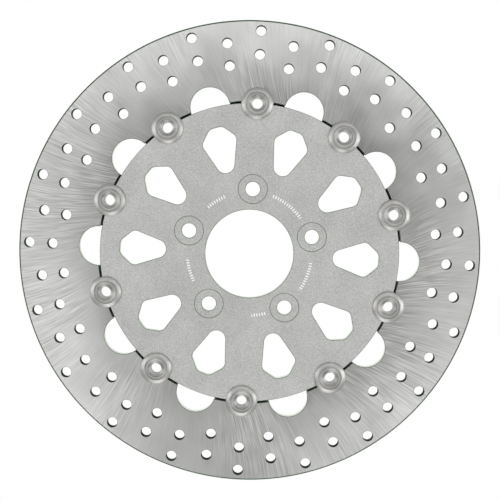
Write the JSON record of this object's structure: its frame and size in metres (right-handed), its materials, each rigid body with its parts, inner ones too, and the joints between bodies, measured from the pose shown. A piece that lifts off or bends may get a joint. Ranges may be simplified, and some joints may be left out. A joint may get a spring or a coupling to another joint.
{
  "type": "floating brake disc rotor",
  "caption": "Floating motorcycle brake disc: a drilled flat friction ring hung on a windowed carrier by turned round buttons, with a hub bore and bolt holes.",
  "frame": {"origin": "on the disc's axis, at the level of the buttons' rear ends, which are its lowest points", "axes": "+Z along the disc's axis, out of the outboard face; +Y through one bolt hole and one button"},
  "size_m": [0.2948, 0.2948, 0.0113],
  "materials": {
    "ground_stainless": "ground stainless steel with near-radial grinding streaks",
    "blasted_stainless": "bead-blasted stainless steel, even and matte",
    "turned_stainless": "lathe-turned stainless steel",
    "spring_steel": "dark tempered spring steel"
  },
  "bodies": {
    "carrier": {"carrier": "blasted_stainless"},
    "friction_ring": {"friction_ring": "ground_stainless"},
    "button_01": {"button_01": "turned_stainless", "wave_washer_01": "spring_steel", "flat_washer_01": "turned_stainless", "circlip_01": "spring_steel"},
    "button_02": {"button_02": "turned_stainless", "wave_washer_02": "spring_steel", "flat_washer_02": "turned_stainless", "circlip_02": "spring_steel"},
    "button_03": {"button_03": "turned_stainless", "wave_washer_03": "spring_steel", "flat_washer_03": "turned_stainless", "circlip_03": "spring_steel"},
    "button_04": {"button_04": "turned_stainless", "wave_washer_04": "spring_steel", "flat_washer_04": "turned_stainless", "circlip_04": "spring_steel"},
    "button_05": {"button_05": "turned_stainless", "wave_washer_05": "spring_steel", "flat_washer_05": "turned_stainless", "circlip_05": "spring_steel"},
    "button_06": {"button_06": "turned_stainless", "wave_washer_06": "spring_steel", "flat_washer_06": "turned_stainless", "circlip_06": "spring_steel"},
    "button_07": {"button_07": "turned_stainless", "wave_washer_07": "spring_steel", "flat_washer_07": "turned_stainless", "circlip_07": "spring_steel"},
    "button_08": {"button_08": "turned_stainless", "wave_washer_08": "spring_steel", "flat_washer_08": "turned_stainless", "circlip_08": "spring_steel"},
    "button_09": {"button_09": "turned_stainless", "wave_washer_09": "spring_steel", "flat_washer_09": "turned_stainless", "circlip_09": "spring_steel"},
    "button_10": {"button_10": "turned_stainless", "wave_washer_10": "spring_steel", "flat_washer_10": "turned_stainless", "circlip_10": "spring_steel"}
  },
  "joints": [
    {"name": "ring_float", "type": "slide", "parent": "carrier", "child": "friction_ring", "axis": [0, 0, 1], "range_m": [-0.00025, 0.00025], "stiffness_N_per_m": 300000},
    {"name": "button_spin_01", "type": "hinge", "parent": "carrier", "child": "button_01", "pos_m": [0, 0.0954, 0.007], "axis": [0, 0, 1], "continuous": true},
    {"name": "button_spin_02", "type": "hinge", "parent": "carrier", "child": "button_02", "pos_m": [-0.05607, 0.07718, 0.007], "axis": [0, 0, 1], "continuous": true},
    {"name": "button_spin_03", "type": "hinge", "parent": "carrier", "child": "button_03", "pos_m": [-0.09073, 0.02948, 0.007], "axis": [0, 0, 1], "continuous": true},
    {"name": "button_spin_04", "type": "hinge", "parent": "carrier", "child": "button_04", "pos_m": [-0.09073, -0.02948, 0.007], "axis": [0, 0, 1], "continuous": true},
    {"name": "button_spin_05", "type": "hinge", "parent": "carrier", "child": "button_05", "pos_m": [-0.05607, -0.07718, 0.007], "axis": [0, 0, 1], "continuous": true},
    {"name": "button_spin_06", "type": "hinge", "parent": "carrier", "child": "button_06", "pos_m": [0, -0.0954, 0.007], "axis": [0, 0, 1], "continuous": true},
    {"name": "button_spin_07", "type": "hinge", "parent": "carrier", "child": "button_07", "pos_m": [0.05607, -0.07718, 0.007], "axis": [0, 0, 1], "continuous": true},
    {"name": "button_spin_08", "type": "hinge", "parent": "carrier", "child": "button_08", "pos_m": [0.09073, -0.02948, 0.007], "axis": [0, 0, 1], "continuous": true},
    {"name": "button_spin_09", "type": "hinge", "parent": "carrier", "child": "button_09", "pos_m": [0.09073, 0.02948, 0.007], "axis": [0, 0, 1], "continuous": true},
    {"name": "button_spin_10", "type": "hinge", "parent": "carrier", "child": "button_10", "pos_m": [0.05607, 0.07718, 0.007], "axis": [0, 0, 1], "continuous": true}
  ]
}
